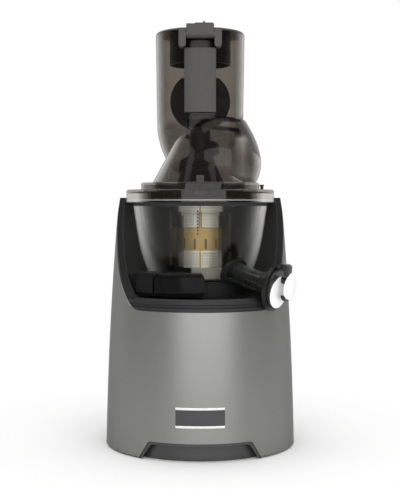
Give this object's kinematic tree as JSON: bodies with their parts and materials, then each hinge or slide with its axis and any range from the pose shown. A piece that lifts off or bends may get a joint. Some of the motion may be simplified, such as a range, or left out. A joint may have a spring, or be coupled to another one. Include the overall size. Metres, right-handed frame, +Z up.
{
  "type": "cold press juicer",
  "caption": "Upright slow juicer with a silver barrel base, clear bowl with strainer and auger, wide feed hopper, juice spout with cap and pulp outlet",
  "frame": {"origin": "on the base's vertical axis, in the plane that the rubber feet stand on", "axes": "+Z up along the auger, -Y to the front with the name plate, +X to the juice spout's side"},
  "size_m": [0.203, 0.2029, 0.453],
  "materials": {
    "silver_shell": "satin metallic lacquer",
    "black_gloss": "gloss black",
    "black_matt": "matt black",
    "grey_trim": "satin grey",
    "plate_face": "satin dark grey",
    "bright_rail": "polished",
    "foot_rubber": "matt",
    "motor_steel": "grey paint",
    "core_steel": "laminated steel",
    "copper": "enamelled copper",
    "gear_plastic": "natural white",
    "gear_steel": "machined steel",
    "fan_plastic": "dark grey",
    "bearing_steel": "ground steel",
    "seal_rubber": "soft black",
    "board_green": "coated board",
    "screw_steel": "zinc plated",
    "clear_smoke": "clear smoky brown",
    "clear_bowl": "clear smoky grey",
    "strainer_amber": "amber plastic",
    "mesh_steel": "perforated stainless steel",
    "brush_grey": "dark grey",
    "blade_silicone": "soft grey",
    "auger_dark": "dark charcoal",
    "lock_brown": "dark brown",
    "bar_grey": "charcoal grey",
    "cap_white": "bright silver white"
  },
  "bodies": {
    "base": {"base_shell": "silver_shell", "cradle": "black_gloss", "trim_ring": "grey_trim", "bay_floor": "black_gloss", "base_plate": "black_matt", "recess_panel": "black_matt", "grip_insert": "black_matt", "name_plate": "plate_face", "plate_rails": "bright_rail", "rubber_feet": "foot_rubber", "motor_can": "motor_steel", "stator_core": "core_steel", "stator_windings": "copper", "gearbox_case": "motor_steel", "gearbox_cover": "motor_steel", "bearings": "bearing_steel", "shaft_seal": "seal_rubber", "control_board": "board_green", "power_inlet": "black_matt", "switch_bezel": "black_matt", "lid_sensor": "black_matt", "case_screws": "screw_steel", "motor_mounts": "foot_rubber"},
    "rotor": {"motor_rotor": "gear_steel", "motor_fan": "fan_plastic"},
    "middle_gear": {"middle_gear": "gear_plastic"},
    "drive": {"output_gear": "gear_steel", "drive_shaft": "gear_steel"},
    "rocker": {"switch_rocker": "black_gloss"},
    "bowl": {"bowl": "clear_bowl", "bowl_seal": "seal_rubber", "strainer_frame": "strainer_amber", "strainer_mesh": "mesh_steel", "juice_spout": "clear_bowl", "spout_collar": "black_gloss", "spout_flange": "black_gloss", "pulp_duct": "black_gloss", "pulp_spout": "black_gloss", "outlet_pins": "screw_steel"},
    "auger": {"auger": "auger_dark"},
    "idler": {"brush_idler": "gear_plastic"},
    "brush": {"brush_frame": "brush_grey", "brush_blades": "blade_silicone"},
    "spout_cap": {"spout_cap": "black_gloss", "cap_seal": "seal_rubber", "cap_trim": "cap_white"},
    "pulp_flap": {"pulp_flap": "blade_silicone"},
    "lid": {"lid": "clear_smoke", "lid_gasket": "seal_rubber", "lid_locks": "lock_brown", "lid_marks": "black_gloss", "hopper": "clear_smoke", "auger_socket": "black_gloss", "front_bar": "bar_grey", "hinge_arms": "bar_grey", "hinge_pins": "screw_steel", "gate_bracket": "black_gloss"},
    "collar": {"gate_collar": "black_gloss", "gate_hinge_block": "bar_grey"},
    "gate": {"flip_gate": "black_gloss"}
  },
  "joints": [
    {"name": "rotor_spin", "type": "hinge", "parent": "base", "child": "rotor", "pos_m": [0, 0.01025, 0], "axis": [0, 0, 1], "continuous": true},
    {"name": "middle_spin", "type": "hinge", "parent": "base", "child": "middle_gear", "pos_m": [0, 0.054, 0], "axis": [0, 0, 1], "continuous": true},
    {"name": "drive_spin", "type": "hinge", "parent": "base", "child": "drive", "pos_m": [0, 0, 0], "axis": [0, 0, 1], "continuous": true},
    {"name": "bowl_lift", "type": "slide", "parent": "base", "child": "bowl", "axis": [0, 0, 1], "range_m": [0, 0.12]},
    {"name": "auger_spin", "type": "hinge", "parent": "bowl", "child": "auger", "pos_m": [0, 0, 0], "axis": [0, 0, 1], "continuous": true},
    {"name": "idler_spin", "type": "hinge", "parent": "bowl", "child": "idler", "pos_m": [0.021, 0, 0], "axis": [0, 0, 1], "continuous": true},
    {"name": "brush_spin", "type": "hinge", "parent": "bowl", "child": "brush", "pos_m": [0, 0, 0], "axis": [0, 0, 1], "continuous": true},
    {"name": "cap_hinge", "type": "hinge", "parent": "bowl", "child": "spout_cap", "pos_m": [0.08348, -0.0749, 0.19407], "axis": [-0.5, -0.866, 0], "range_deg": [0, 100]},
    {"name": "flap_hinge", "type": "hinge", "parent": "bowl", "child": "pulp_flap", "pos_m": [-0.05714, -0.06346, 0.1852], "axis": [-0.7431, 0.6691, 0], "range_deg": [0, 60]},
    {"name": "lid_lift", "type": "slide", "parent": "bowl", "child": "lid", "axis": [0, 0, 1], "range_m": [0, 0.16]},
    {"name": "collar_hinge", "type": "hinge", "parent": "lid", "child": "collar", "pos_m": [0, -0.0275, 0.4385], "axis": [1, 0, 0], "range_deg": [0, 95]},
    {"name": "gate_hinge", "type": "hinge", "parent": "lid", "child": "gate", "pos_m": [0, 0.055, 0.4085], "axis": [-1, 0, 0], "range_deg": [0, 90]},
    {"name": "switch_tilt", "type": "hinge", "parent": "base", "child": "rocker", "pos_m": [0.07752, 0.05428, 0.1], "axis": [-0.5736, 0.8192, 0], "range_deg": [-8, 8]}
  ],
  "couplings": [
    {"joint": "middle_spin", "follows": "rotor_spin", "ratio": -0.25},
    {"joint": "drive_spin", "follows": "rotor_spin", "ratio": 0.05},
    {"joint": "auger_spin", "follows": "rotor_spin", "ratio": 0.05},
    {"joint": "idler_spin", "follows": "rotor_spin", "ratio": -0.066667},
    {"joint": "brush_spin", "follows": "rotor_spin", "ratio": -0.02}
  ]
}
